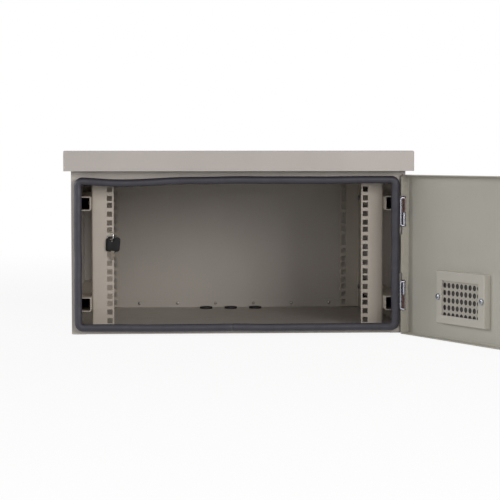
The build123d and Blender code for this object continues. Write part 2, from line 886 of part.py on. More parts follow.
cabinet_nodes = {
    "right_side_panel": right_side_panel(),
    "left_side_panel": mirrored(right_side_panel()),
    "back_panel": back_panel(),
    "roof_panel": roof_panel(),
    "floor_panel": floor_panel(),
    "floor_stiffener": floor_stiffener(),
    "front_frame": front_frame(),
    "rain_canopy": rain_canopy(),
    "door_gasket": door_gasket(),
    "front_right_rail": front_right_rail,
    "front_left_rail": mirrored(front_right_rail),
    "rear_right_rail": rear_right_rail,
    "rear_left_rail": mirrored(rear_right_rail),
    "lower_right_channel": low_right_channel,
    "lower_left_channel": mirrored(low_right_channel),
    "upper_right_channel": high_right_channel,
    "upper_left_channel": mirrored(high_right_channel),
    "rail_screws": rail_screws,
    "rail_nuts": rail_nuts,
    "floor_rivets": group(floor_rivet(place) for place in rivet_places()),
    "lower_hinge_bracket": hinge_bracket(hinge_low_height),
    "upper_hinge_bracket": hinge_bracket(hinge_high_height),
    "lower_hinge_pin": hinge_pin(hinge_low_height),
    "upper_hinge_pin": hinge_pin(hinge_high_height),
    "key_ring": key_ring(),
}
for name, place in zip(("left", "middle", "right"), grommet_places()):
    cabinet_nodes[name + "_grommet"] = grommet(place)
for index in range(len(key_tilt_angles)):
    head, blade = spare_key(index)
    cabinet_nodes[f"key_{index + 1}_head"] = head
    cabinet_nodes[f"key_{index + 1}_blade"] = blade

lock_bore = lock_body_radius + nut_thread_clearance
door_nodes = {
    "door_panel": door_panel(),
    "lower_hinge_leaf": hinge_leaf(*hinge_rows[0]),
    "upper_hinge_leaf": hinge_leaf(*hinge_rows[1]),
    "vent_cover": vent_cover(),
    "vent_grille": vent_grille(),
    "filter_mat": filter_mat(),
    "vent_screws": group(
        pan_screw((x, vent_face, vent_height), (0, -1, 0), vent_depth, screw_head_bevel)
        for x in vent_screw_xs()
    ),
    "lock_barrel": lock_barrel(),
    "lock_nut": hexagon(
        (lock_x, skin_inner, door_z), (0, 1, 0), lock_nut_radius, lock_nut_height, lock_bore
    ),
    "lock_plug": lock_plug(),
    "lock_cam": lock_cam(),
    "cam_screw": cam_screw(),
}

# The door stands open: its pieces turn together about the hinge pins
hinge_line = Axis((hinge_x, hinge_y, 0), (0, 0, 1))
nodes = dict(cabinet_nodes)
for name, shape in door_nodes.items():
    nodes[name] = shape.rotate(hinge_line, door_open_angle)

os.makedirs("parts", exist_ok=True)
for name, shape in nodes.items():
    export_step(shape, f"parts/{name}.step")
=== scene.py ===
"""Looks of an outdoor rack cabinet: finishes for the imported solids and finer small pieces.

Lengths of pieces are millimetres in the cabinet's frame, and a mesh gets them in metres; the
floor, lamps and camera are placed in metres.
"""

import json
import math

import bmesh
import bpy
import numpy as np
from mathutils import Matrix, Vector


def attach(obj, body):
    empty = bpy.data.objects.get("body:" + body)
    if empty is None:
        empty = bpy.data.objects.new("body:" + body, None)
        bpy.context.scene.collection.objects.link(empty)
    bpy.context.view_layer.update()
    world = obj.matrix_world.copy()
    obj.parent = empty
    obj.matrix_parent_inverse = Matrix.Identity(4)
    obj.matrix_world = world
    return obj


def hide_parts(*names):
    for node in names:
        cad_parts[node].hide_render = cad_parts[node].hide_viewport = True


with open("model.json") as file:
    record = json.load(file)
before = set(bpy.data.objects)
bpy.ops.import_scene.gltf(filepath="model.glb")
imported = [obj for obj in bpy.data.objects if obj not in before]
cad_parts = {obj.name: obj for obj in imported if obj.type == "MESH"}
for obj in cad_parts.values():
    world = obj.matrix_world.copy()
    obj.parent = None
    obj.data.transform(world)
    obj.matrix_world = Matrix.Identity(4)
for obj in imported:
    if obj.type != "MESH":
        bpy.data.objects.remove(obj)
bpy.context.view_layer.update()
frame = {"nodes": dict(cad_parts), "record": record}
nodes = frame["nodes"]

# Cabinet sizes that the finer pieces share with the solids
front_y, back_y = -225.0, 225.0
sheet = 1.5
hinge_x, hinge_y = 296.0, -231.2
knuckle_radius = 3.2
open_angle = math.radians(116.0)

# Corners of a rectangle about its middle, in turn
corner_signs = np.array([[1, 1], [-1, 1], [-1, -1], [1, -1]])


# Meshes


def opened(ways):
    """Directions given for the closed door, as they lie with the door open."""
    c, s = math.cos(open_angle), math.sin(open_angle)
    x, y = ways[..., 0], ways[..., 1]
    return np.stack([c * x - s * y, s * x + c * y, ways[..., 2]], -1)


def on_door(points):
    """Points given for the closed door, turned about the hinge line to where the door stands open."""
    hinge = np.array([hinge_x, hinge_y, 0.0])
    return hinge + opened(points - hinge)


def smooth(share):
    """A share held between 0 and 1 and eased at both ends, as 3 s^2 - 2 s^3."""
    share = np.clip(share, 0, 1)
    return share**2 * (3 - 2 * share)


def bell(distance, spread):
    """A bump of height 1, e to the minus square of distance over spread."""
    return np.exp(-((distance / spread) ** 2))


def grid_quads(rows, columns, wrap_rows, wrap_columns):
    """Corner numbers of the quads of a grid; a wrapped way joins its last line to its first."""
    index = np.arange(rows * columns).reshape(rows, columns)
    near = index if wrap_rows else index[:-1]
    far = np.roll(index, -1, 0) if wrap_rows else index[1:]
    pairs = [
        (line, np.roll(line, -1, 1)) if wrap_columns else (line[:, :-1], line[:, 1:])
        for line in (near, far)
    ]
    (a, b), (d, c) = pairs
    return np.stack([a, b, c, d], -1).reshape(-1, 4)


def piece(name, patches, body, finish, stands_for=(), crease=40.0):
    """One object from grids of points: each patch is (points, wrap rows, wrap columns).

    Doubled points at seams and poles are merged and the faces are turned outwards.
    """
    points, quads, start = [], [], 0
    for grid, wrap_rows, wrap_columns in patches:
        rows, columns = grid.shape[:2]
        points.append(grid.reshape(-1, 3) * 0.001)
        quads.append(grid_quads(rows, columns, wrap_rows, wrap_columns) + start)
        start += rows * columns
    mesh = bpy.data.meshes.new(name)
    mesh.from_pydata(np.concatenate(points).tolist(), [], np.concatenate(quads).tolist())
    work = bmesh.new()
    work.from_mesh(mesh)
    bmesh.ops.remove_doubles(work, verts=work.verts, dist=2e-6)
    bmesh.ops.dissolve_degenerate(work, edges=work.edges, dist=1e-7)
    bmesh.ops.recalc_face_normals(work, faces=work.faces)
    work.to_mesh(mesh)
    work.free()
    mesh.polygons.foreach_set("use_smooth", np.ones(len(mesh.polygons), bool))
    mesh.set_sharp_from_angle(angle=math.radians(crease))
    mesh.materials.append(finish)
    made = bpy.data.objects.new(name, mesh)
    bpy.context.scene.collection.objects.link(made)
    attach(made, body)
    if stands_for:
        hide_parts(*stands_for)
    return made


def eased(corners, radius, steps):
    """A closed outline with its corners eased: each corner becomes a curve between two points at
    the radius before and after it, weighted (1-t)^2, 2t(1-t), t^2 on start, corner and end."""
    corners = np.asarray(corners, float)
    into = corners - np.roll(corners, 1, 0)
    away = np.roll(corners, -1, 0) - corners
    into /= np.linalg.norm(into, axis=1, keepdims=True)
    away /= np.linalg.norm(away, axis=1, keepdims=True)
    reach = np.broadcast_to(np.asarray(radius, float), len(corners))[:, None]
    start, end = corners - reach * into, corners + reach * away
    t = np.linspace(0, 1, steps)[None, :, None]
    curve = (1 - t) ** 2 * start[:, None] + 2 * t * (1 - t) * corners[:, None] + t**2 * end[:, None]
    return curve.reshape(-1, 2)


def turned(profile, centre, axis, across, steps=48, closed=True):
    """A profile of radius and height turned about an axis: centre + axis h + r (across cos +
    side sin)."""
    axis, across = np.asarray(axis, float), np.asarray(across, float)
    side = np.cross(axis, across)
    angle = np.linspace(0, 2 * math.pi, steps, endpoint=False)[None, :, None]
    r, h = profile[:, 0][:, None, None], profile[:, 1][:, None, None]
    points = np.asarray(centre, float) + axis * h + r * (across * np.cos(angle) + side * np.sin(angle))
    return points, closed, True


# Finishes


def finish_start(name):
    """A material with its shader, object coordinates and a short way to add and join nodes."""
    material = bpy.data.materials.new(name)
    material.use_nodes = True
    tree = material.node_tree
    tree.nodes.clear()
    shader = tree.nodes.new("ShaderNodeBsdfPrincipled")
    output = tree.nodes.new("ShaderNodeOutputMaterial")
    tree.links.new(shader.outputs["BSDF"], output.inputs["Surface"])
    place = tree.nodes.new("ShaderNodeTexCoord").outputs["Object"]
    return material, tree, shader, place


def grain(tree, place, scale, detail=2.0, rough=0.5):
    """Noise of a given number of waves to the metre."""
    node = tree.nodes.new("ShaderNodeTexNoise")
    node.inputs["Scale"].default_value = scale
    node.inputs["Detail"].default_value = detail
    node.inputs["Roughness"].default_value = rough
    tree.links.new(place, node.inputs["Vector"])
    return node.outputs["Fac"]


def ranged(tree, value, low, high, from_low=0.3, from_high=0.7):
    """A value spread from its own range to another."""
    node = tree.nodes.new("ShaderNodeMapRange")
    node.inputs["From Min"].default_value = from_low
    node.inputs["From Max"].default_value = from_high
    node.inputs["To Min"].default_value = low
    node.inputs["To Max"].default_value = high
    tree.links.new(value, node.inputs["Value"])
    return node.outputs["Result"]


def shaded(tree, value, dark, light):
    """A colour between two, by a value."""
    node = tree.nodes.new("ShaderNodeMix")
    node.data_type = "RGBA"
    node.inputs[6].default_value = (*dark, 1)
    node.inputs[7].default_value = (*light, 1)
    tree.links.new(value, node.inputs[0])
    return node.outputs[2]


def relief(tree, shader, height, distance, strength=1.0):
    """Bump from a height value, on the shader's normal."""
    node = tree.nodes.new("ShaderNodeBump")
    node.inputs["Distance"].default_value = distance
    node.inputs["Strength"].default_value = strength
    tree.links.new(height, node.inputs["Height"])
    tree.links.new(node.outputs["Normal"], shader.inputs["Normal"])


def linear(red, green, blue):
    """Screen colour, 0 to 255, as scene light."""
    share = np.array([red, green, blue]) / 255
    return tuple(np.where(share <= 0.04045, share / 12.92, ((share + 0.055) / 1.055) ** 2.4).tolist())


def powder_coat(name, colour, spread=0.035, gloss=0.44):
    """Satin powder paint: faint clouds of tone, fine orange-peel relief and uneven sheen."""
    material, tree, shader, place = finish_start(name)
    cloud = ranged(tree, grain(tree, place, 7.0, 4.0, 0.6), 0, 1)
    dark = tuple(c * (1 - spread) for c in colour)
    light = tuple(c * (1 + spread) for c in colour)
    tree.links.new(shaded(tree, cloud, dark, light), shader.inputs["Base Color"])
    sheen = ranged(tree, grain(tree, place, 55.0, 3.0), gloss - 0.05, gloss + 0.07)
    tree.links.new(sheen, shader.inputs["Roughness"])
    relief(tree, shader, grain(tree, place, 900.0, 2.0, 0.55), 0.00006, 0.35)
    return material


def soft_rubber(name, colour, gloss, waves=600.0):
    """Rubber: dull skin with a fine pitted relief and paler dusty clouds."""
    material, tree, shader, place = finish_start(name)
    cloud = ranged(tree, grain(tree, place, 30.0, 5.0, 0.65), 0, 1)
    light = tuple(c * 1.25 + 0.004 for c in colour)
    tree.links.new(shaded(tree, cloud, colour, light), shader.inputs["Base Color"])
    sheen = ranged(tree, grain(tree, place, 90.0, 2.0), gloss - 0.06, gloss + 0.08)
    tree.links.new(sheen, shader.inputs["Roughness"])
    relief(tree, shader, grain(tree, place, waves, 3.0, 0.6), 0.00012, 0.4)
    return material


def plated(name, colour, gloss, spread=0.08, waves=240.0):
    """Bare or plated metal: even tone with small stains and a slightly uneven polish."""
    material, tree, shader, place = finish_start(name)
    shader.inputs["Metallic"].default_value = 1.0
    cloud = ranged(tree, grain(tree, place, 120.0, 4.0, 0.6), 0, 1)
    dark = tuple(c * (1 - spread) for c in colour)
    tree.links.new(shaded(tree, cloud, dark, colour), shader.inputs["Base Color"])
    sheen = ranged(tree, grain(tree, place, waves, 3.0), gloss * 0.75, gloss * 1.35)
    tree.links.new(sheen, shader.inputs["Roughness"])
    relief(tree, shader, grain(tree, place, waves * 3, 2.0), 0.00001, 0.15)
    return material


def moulded(name, colour, gloss):
    """Moulded plastic: fine spark-eroded grain and a soft sheen."""
    material, tree, shader, place = finish_start(name)
    shader.inputs["Specular IOR Level"].default_value = 0.2
    cloud = ranged(tree, grain(tree, place, 140.0, 3.0), 0, 1)
    light = tuple(c * 1.3 + 0.003 for c in colour)
    tree.links.new(shaded(tree, cloud, colour, light), shader.inputs["Base Color"])
    sheen = ranged(tree, grain(tree, place, 260.0, 2.0), gloss - 0.05, gloss + 0.08)
    tree.links.new(sheen, shader.inputs["Roughness"])
    relief(tree, shader, grain(tree, place, 1500.0, 2.0), 0.00008, 0.5)
    return material


def felt(name, colour):
    """Open filter felt: coarse matted fibres, with painted shade between them where the relief is low."""
    material, tree, shader, place = finish_start(name)
    fibre_relief_and_shade = grain(tree, place, 420.0, 6.0, 0.75)
    light = tuple(c * 2.2 for c in colour)
    # Painted shade: the colour darkens in the hollows between the fibres, following the same noise as the
    # relief.
    tree.links.new(shaded(tree, ranged(tree, fibre_relief_and_shade, 0, 1), colour, light), shader.inputs["Base Color"])
    shader.inputs["Roughness"].default_value = 0.95
    relief(tree, shader, fibre_relief_and_shade, 0.0012, 0.8)
    return material


# One powder coat on all painted parts. Its tone is set part by part to how each part is lit, so the small
# differences between these six paints are painted light and shade.
shell_paint = powder_coat("shell_paint", linear(184, 178, 171))
canopy_paint = powder_coat("canopy_paint", linear(181, 175, 171))
door_paint = powder_coat("door_paint", linear(183, 180, 170))
vent_paint = powder_coat("vent_paint", linear(188, 184, 175), gloss=0.4)
grille_paint = powder_coat("grille_paint", linear(176, 171, 162))
rail_paint = powder_coat("rail_paint", linear(182, 174, 163), gloss=0.42)
gasket_rubber = soft_rubber("gasket_rubber", linear(42, 41, 50), 0.55)
grommet_rubber = soft_rubber("grommet_rubber", linear(14, 14, 15), 0.6)
hinge_chrome = plated("hinge_chrome", linear(156, 157, 167), 0.28)
pin_steel = plated("pin_steel", linear(100, 70, 66), 0.35, 0.3)
zinc_steel = plated("zinc_steel", linear(150, 153, 158), 0.32, 0.15)
dull_steel = plated("dull_steel", linear(84, 80, 74), 0.5, 0.3)
# The rivets are painted like the shell; this darker tone is painted shade, so that they show as dots.
rivet_metal = plated("rivet_metal", linear(150, 146, 140), 0.42, 0.15)
lock_chrome = plated("lock_chrome", linear(190, 190, 196), 0.18)
ring_steel = plated("ring_steel", linear(236, 236, 234), 0.3)
key_plastic = moulded("key_plastic", linear(10, 10, 13), 0.5)
key_steel = plated("key_steel", linear(108, 101, 91), 0.3)
filter_felt = felt("filter_felt", linear(54, 52, 50))

slot_finish = {
    "shell_paint": shell_paint,
    "canopy_paint": canopy_paint,
    "door_paint": door_paint,
    "vent_paint": vent_paint,
    "grille_paint": grille_paint,
    "rail_paint": rail_paint,
    "gasket_rubber": gasket_rubber,
    "grommet_rubber": grommet_rubber,
    "hinge_chrome": hinge_chrome,
    "hinge_pin_steel": pin_steel,
    "zinc_steel": zinc_steel,
    "rivet_metal": rivet_metal,
    "lock_chrome": lock_chrome,
    "ring_steel": ring_steel,
    "key_plastic": key_plastic,
    "key_steel": key_steel,
    "filter_felt": filter_felt,
}
for entry in frame["record"]["subparts"]:
    node = nodes[entry["node"]]
    node.data.materials.clear()
    node.data.materials.append(slot_finish[entry["material_slot"]])
nodes["rail_nuts"].data.materials[0] = dull_steel

# Hinge leaves are bare metal at the knuckle and painted with the door beyond it
bare_radius = knuckle_radius + 0.1
for level in ("lower", "upper"):
    leaf = nodes[f"{level}_hinge_leaf"].data
    middles = np.zeros(3 * len(leaf.polygons))
    leaf.polygons.foreach_get("center", middles)
    from_pin = np.hypot(*(middles.reshape(-1, 3)[:, :2] * 1000 - (hinge_x, hinge_y)).T)
    leaf.materials.append(door_paint)
    leaf.polygons.foreach_set("material_index", (from_pin > bare_radius).astype(np.int32))


# Door seal

seal_middle, seal_half = np.array([-3.25, 145.5]), np.array([283.5, 131.75])
seal_corner = 9.0
bulb_forward, bulb_depth = 10.45, 6.25
bulb_width, bulb_hinge_width = 6.7, 7.8
bulb_sweep = math.radians(133.7)
foot_forward, foot_width = 0.5, 4.5
sag_x, sag_depth = -212.0, 5.4
sag_spread_left, sag_spread_right = 62.0, 85.0
sag_low, sag_high = 215.0, 270.0
ripple_waves, ripple_height, ripple_start = 9, 0.3, 0.6
small_waves, small_height = 17, 0.18
joint_x, joint_spread, joint_pinch = -12.8, 1.1, 0.07


def door_seal():
    """The seal's outline carried round the opening: a rounded rectangle path, the outline set out
    along its outward normal and forwards from the frame.

    The path sags by a bell in the top run near the left corner and has a slow ripple. The outline
    shrinks by a bell at the joint in the bottom run, and its bulb is wider in the run by the hinges.
    """
    angle = np.radians(np.array([0, 90, 180, 270])[:, None] + np.linspace(0, 90, 13)[None, :])
    normal = np.stack([np.cos(angle), np.sin(angle)], -1)
    arc_middles = seal_middle + corner_signs * (seal_half - seal_corner)
    arcs = arc_middles[:, None] + seal_corner * normal
    step = np.linspace(0, 1, 301)[1:-1][None, :, None]
    runs = arcs[:, -1:] + step * (np.roll(arcs[:, 0], -1, 0) - arcs[:, -1])[:, None]
    path = np.concatenate([arcs, runs], 1).reshape(-1, 2)
    out = np.concatenate([normal, np.broadcast_to(normal[:, -1:], runs.shape)], 1).reshape(-1, 2)

    x, z = path[:, 0], path[:, 1]
    spread = np.where(x < sag_x, sag_spread_left, sag_spread_right)
    sag = sag_depth * bell(x - sag_x, spread) * smooth((z - sag_low) / (sag_high - sag_low))
    along = np.arctan2(z - seal_middle[1], (x - seal_middle[0]) / 2)
    ripple = ripple_height * np.sin(ripple_waves * along + ripple_start)
    ripple += small_height * np.sin(small_waves * along)
    joint = 1 - joint_pinch * bell(x - joint_x, joint_spread) * (z < seal_middle[1])

    turn = np.linspace(-bulb_sweep, bulb_sweep, 25)
    bulb = np.stack([bulb_forward + bulb_depth * np.cos(turn), bulb_width * np.sin(turn)], -1)
    foot = np.array([[foot_forward, foot_width], [foot_forward, -foot_width]])
    outline = np.concatenate([bulb, foot])
    by_hinge = np.clip(out[:, 0], 0, 1)
    wide = joint * (1 + (bulb_hinge_width / bulb_width - 1) * by_hinge)
    outward = outline[None, :, 1] * wide[:, None] + ripple[:, None]
    forward = outline[None, :, 0] * joint[:, None]
    points = np.stack(
        [
            x[:, None] + out[:, :1] * outward,
            front_y - forward,
            z[:, None] + out[:, 1:] * outward - sag[:, None],
        ],
        -1,
    )
    return [(points, True, True)]


piece("door_seal", door_seal(), "cabinet", gasket_rubber, ["door_gasket"])


# Vent on the door

vent_x, vent_z, vent_face = 123.8, 75.3, -230.0
window_z = vent_z - 1.1
plate_face, plate_back = -233.2, -233.7
plate_half = np.array([60.0, 36.75])
hole_pitch_x, hole_pitch_z, hole_radius = 12.3, 12.9, 4.7
hole_columns, hole_rows = 9, 5
holes_x, holes_z = vent_x - 1.2, window_z - 3.8
hole_bevel = 0.15


def perforated_plate():
    """Cells of a grid, each a band from a round hole to the cell's edge: the radius goes from the hole
    to the smaller of half the pitch over |cos| and over |sin|; a flat band frames the grid."""
    angle = np.linspace(0, 2 * math.pi, 40, endpoint=False)
    ray = np.stack([np.cos(angle), np.sin(angle)], -1)
    edge = 1 / np.maximum(np.abs(ray[:, 0]) * 2 / hole_pitch_x, np.abs(ray[:, 1]) * 2 / hole_pitch_z)
    rim = np.full_like(edge, hole_radius)
    reach = np.stack([edge, rim + hole_bevel, rim, rim, edge])
    depth = np.array([plate_face, plate_face, plate_face - hole_bevel, plate_back, plate_back])
    patches = []
    for column in range(hole_columns):
        for row in range(hole_rows):
            x = holes_x + (column - (hole_columns - 1) / 2) * hole_pitch_x + reach * ray[:, 0]
            z = holes_z + (row - (hole_rows - 1) / 2) * hole_pitch_z + reach * ray[:, 1]
            y = np.broadcast_to(depth[:, None], x.shape)
            patches.append((on_door(np.stack([x, y, z], -1)), False, True))
    grid_half = np.array([hole_columns * hole_pitch_x, hole_rows * hole_pitch_z]) / 2
    inner = np.array([holes_x, holes_z]) - corner_signs * grid_half
    outer = np.array([vent_x, window_z]) - corner_signs * plate_half
    flat = np.stack([inner, outer, outer, inner])
    depth = np.array([plate_face, plate_face, plate_back, plate_back])
    y = np.broadcast_to(depth[:, None], flat.shape[:2])
    band = np.stack([flat[..., 0], y, flat[..., 1]], -1)
    patches.append((on_door(band), False, True))
    return patches


piece("perforated_plate", perforated_plate(), "door", grille_paint, ["vent_grille"])

pad_half_x, pad_half_z, pad_corner = 59.5, 36.2, 4.0
pad_y, pad_swell = -238.1, 3.42
pad_wave, pad_wave_x, pad_wave_z = 0.15, 2.1, 1.7


def filter_pad():
    """A soft pad: rings of a rounded rectangle drawn in from the rim to the middle of each face,
    the face swelling as 1 - s^8 and rippled by crossed waves."""
    ring = eased(corner_signs * (pad_half_x, pad_half_z), pad_corner, 40)
    share = np.concatenate([np.linspace(0, 1, 30), np.linspace(1, 0, 30)[1:]])[:, None]
    face = np.concatenate([np.ones(30), -np.ones(29)])[:, None]
    x = vent_x + share * ring[None, :, 0]
    z = window_z + share * ring[None, :, 1]
    crown = 1 - share**8
    wave = pad_wave * np.sin(x / pad_wave_x) * np.sin(z / pad_wave_z)
    return [(on_door(np.stack([x, pad_y + crown * (face * pad_swell + wave), z], -1)), False, True)]


pad = piece("filter_pad", filter_pad(), "door", filter_felt, ["filter_mat"], 180)


# Screws

head_radius, head_height = 5.5, 3.6
head_fall, head_power = 0.55, 3.2
head_foot_rise, head_foot_inset = 0.25, 0.15
shank_radius, tip_bevel = 3.0, 0.6
recess_reach, recess_half, recess_depth, recess_ease = 3.0, 0.75, 1.9, 0.35
head_rings = 40
vent_screw_offset, vent_screw_tail = 63.0, 12.0
vent_screw_slant = math.radians(28)
rail_screw_x, rail_screw_tail, rail_screw_turn = 263.0, 5.0, 37.0
rail_screw_depths, rail_screw_heights = (-160.0, 188.0), (54.0, 235.0)


def cross_screw(seat, axis, across, tail):
    """Pan head with a cross recess over a plain shank.

    Head height falls with a power of the radius. The recess sinks it inside two crossed bars, eased
    at the bars' edges.
    """
    axis, across = np.asarray(axis, float), np.asarray(across, float)
    side = np.cross(axis, across)
    foot_r = [head_radius, head_radius - head_foot_inset]
    shank_r = [shank_radius, shank_radius, shank_radius - tip_bevel, 0]
    r = np.concatenate([np.linspace(0, head_radius, head_rings), foot_r, shank_r])
    angle = np.linspace(0, 2 * math.pi, 64, endpoint=False)
    u, v = r[:, None] * np.cos(angle), r[:, None] * np.sin(angle)
    upright = np.maximum(np.abs(u) - recess_half, np.abs(v) - recess_reach)
    level = np.maximum(np.abs(u) - recess_reach, np.abs(v) - recess_half)
    sink = recess_depth * np.clip(0.5 - np.minimum(upright, level) / recess_ease, 0, 1)
    share = (r / head_radius)[:, None]
    top = head_height * (1 - head_fall * share**head_power) - sink * (1 - share**2)
    below = np.array([head_foot_rise, 0.0, 0.0, tip_bevel - tail, -tail, -tail])
    below = np.broadcast_to(below[:, None], (len(below), len(angle)))
    rise = np.concatenate([top[:head_rings], below])
    spread = u[..., None] * across + v[..., None] * side
    points = np.asarray(seat, float) + rise[..., None] * axis + spread
    return points, False, True


inward, sideways = opened(np.array([[0.0, 1.0, 0.0], [1.0, 0.0, 0.0]]))
up = np.array([0.0, 0.0, 1.0])
vent_heads = []
for way in (-1, 1):
    seat = on_door(np.array([vent_x + way * vent_screw_offset, vent_face, vent_z]))
    slant = way * vent_screw_slant
    across = math.cos(slant) * sideways + math.sin(slant) * up
    vent_heads.append(cross_screw(seat, inward, across, vent_screw_tail))
piece("vent_cover_screws", vent_heads, "door", zinc_steel, ["vent_screws"])

# Rail screws stand at turns that differ with their places
rail_heads = []
for way in (-1, 1):
    for y in rail_screw_depths:
        for z in rail_screw_heights:
            tilt = math.radians(way * rail_screw_turn + y + z)
            across = np.array([0.0, math.cos(tilt), math.sin(tilt)])
            seat = (way * rail_screw_x, y, z)
            rail_heads.append(cross_screw(seat, (-way, 0, 0), across, rail_screw_tail))
piece("rail_cross_screws", rail_heads, "cabinet", zinc_steel, ["rail_screws"])


# Rivets, grommets and plugs

rivet_count, rivet_pitch = 6, 78.0
rivet_x, rivet_y, rivet_z = 9.0, 222.0, 18.0
rivet_radius, rivet_rim, rivet_dome = 3.2, 0.15, 1.15
rivet_shank, rivet_tail = 1.6, 3.0

arc = np.linspace(math.pi / 2, 0, 12)
dome = np.stack([rivet_radius * np.cos(arc), rivet_rim + rivet_dome * np.sin(arc)], -1)
below = [[rivet_radius, 0.0], [rivet_shank, 0.0], [rivet_shank, -rivet_tail], [0.0, -rivet_tail]]
rivet = np.concatenate([dome, below])
rivet_row = []
for number in range(rivet_count):
    x = rivet_x + (number - (rivet_count - 1) / 2) * rivet_pitch
    rivet_row.append(turned(rivet, (x, rivet_y, rivet_z), (0, -1, 0), (1, 0, 0), 32, False))
# The rivets' darker tone is painted shade.
piece("dome_rivets", rivet_row, "cabinet", rivet_metal, ["floor_rivets"])

grommet_pitch, grommet_y, floor_z = 50.0, 188.0, 10.0
bore, neck, flange, toe = 8.0, 11.0, 12.8, 12.3
collar_top, collar_low = 4.2, -4.0
collar = [[bore, collar_low], [bore, collar_top], [flange, collar_top], [flange, 0]]
collar += [[neck, 0], [neck, -sheet], [flange, -sheet], [toe, collar_low]]
collar_ease = [0.9, 1.2, 1.4, 0.3, 0.2, 0.2, 0.3, 0.8]
collar = eased(collar, collar_ease, 6)
for way, side_name in ((-1, "left"), (0, "middle"), (1, "right")):
    ring = turned(collar, (way * grommet_pitch, grommet_y, floor_z), (0, 0, 1), (1, 0, 0), 56)
    piece(
        f"{side_name}_cable_grommet", [ring], "cabinet", grommet_rubber,
        [f"{side_name}_grommet"],
    )

# Rubber plugs that close the wall-fixing holes: a neck in the sheet under a domed head
fixing_x, fixing_heights = 281.0, (33.0, 295.0)
plug_neck, plug_head, plug_inset, plug_bevel = 4.4, 6.5, 0.15, 0.3
neck_side = [[0, plug_inset], [plug_neck - plug_bevel, plug_inset], [plug_neck, plug_inset + plug_bevel]]
head_side = [[plug_head - 0.1, sheet], [plug_head, sheet + 0.4], [plug_head - 0.6, sheet + 1.2]]
head_top = [[plug_neck, sheet + 1.5], [0, sheet + 1.6]]
plug = np.array([*neck_side, [plug_neck, sheet], *head_side, *head_top])
plugs = [
    turned(plug, (way * fixing_x, back_y, z), (0, -1, 0), (1, 0, 0), 40, False)
    for way in (-1, 1)
    for z in fixing_heights
]
piece("wall_hole_plugs", plugs, "cabinet", grommet_rubber)


# Hinge straps

strap_tall, strap_thick, strap_depth = 52.0, 2.4, 10.2
strap_bend, strap_ease = 3.4, 0.28
web_reach, eye_radius = 7.5, 3.6
end_inset, end_chord = 0.05, 0.3
widen_start, widen_over = 1.5, 4.0
strap_heights = {"lower": 69.5, "upper": 220.2}


def hinge_strap(height):
    """A flat strap carried along a C path: out from the pin, round a corner, down the frame and back.

    The strap's section is a rectangle with eased corners. Its depth follows the pin's eye as the half
    chord of a circle at the ends and widens to reach the frame at the web.
    """
    half_tall = (strap_tall - strap_thick) / 2
    low, high = height - half_tall, height + half_tall
    web_x = hinge_x - web_reach + strap_thick / 2
    reach = hinge_x + eye_radius * np.sin(np.linspace(math.pi / 2, 0, 10)[:-1]) - end_inset
    arm = np.linspace(hinge_x - end_inset, web_x + strap_bend, 8)
    bend_angle = np.radians(np.linspace(90, 180, 12))[1:-1]
    bend_x = web_x + strap_bend + strap_bend * np.cos(bend_angle)
    bend_z = high - strap_bend + strap_bend * np.sin(bend_angle)
    half_x = np.concatenate([reach, arm, bend_x, [web_x]])
    half_z = np.concatenate([np.full(len(reach) + len(arm), high), bend_z, [high - strap_bend]])
    x = np.concatenate([half_x, half_x[::-1]])
    z = np.concatenate([half_z, (low + high) - half_z[::-1]])
    along = np.stack([np.gradient(x), np.gradient(z)], -1)
    along /= np.linalg.norm(along, axis=1, keepdims=True)
    across = np.stack([-along[:, 1], along[:, 0]], -1)
    chord = np.sqrt(np.maximum(eye_radius**2 - np.maximum(x - hinge_x, 0) ** 2, end_chord**2))
    share = smooth((hinge_x - widen_start - x) / widen_over)
    near = (hinge_y - chord) * (1 - share) + (front_y - strap_depth) * share
    far = (hinge_y + chord) * (1 - share) + front_y * share
    section = eased(-corner_signs, strap_ease, 5)
    thick = strap_thick / 2 * section[None, :, 0]
    y = (near + far)[:, None] / 2 + (far - near)[:, None] / 2 * section[None, :, 1]
    points = np.stack([x[:, None] + across[:, :1] * thick, y, z[:, None] + across[:, 1:] * thick], -1)
    ends = [np.repeat(end.mean(0, keepdims=True), len(section), 0)[None] for end in (points[0], points[-1])]
    return [(np.concatenate([ends[0], points, ends[1]]), False, True)]


for level, height in strap_heights.items():
    piece(
        f"{level}_hinge_strap", hinge_strap(height), "cabinet", hinge_chrome,
        [f"{level}_hinge_bracket"],
    )


# Spare keys

# A head's outline about its eye, and the places and tilts of the two eyes
key_right, key_left, key_top, key_bottom, key_eye = 15.0, -9.0, 5.2, -20.3, 3.8
key_corners = [6.5, 6.5, 4.5, 4.5]
key_places = (((-230.117, -178.7, 167.599), -2.0), ((-227.767, -181.5, 169.058), -6.0))

# A head's section as distance from an edge and depth: up the eye, round the rim, and back to the eye
eye_section = np.array([[0, 0.4], [0, 2.0], [0.2, 2.3], [0.6, 2.4]])
rim_front = [[0.8, 2.4], [0.35, 2.3], [0.1, 2.05], [0, 1.6]]
rim_back = [[0, 0.8], [0.1, 0.35], [0.35, 0.1], [0.8, 0]]
rim_section = np.array(rim_front + rim_back)
eye_back = np.array([[0.4, 0]])


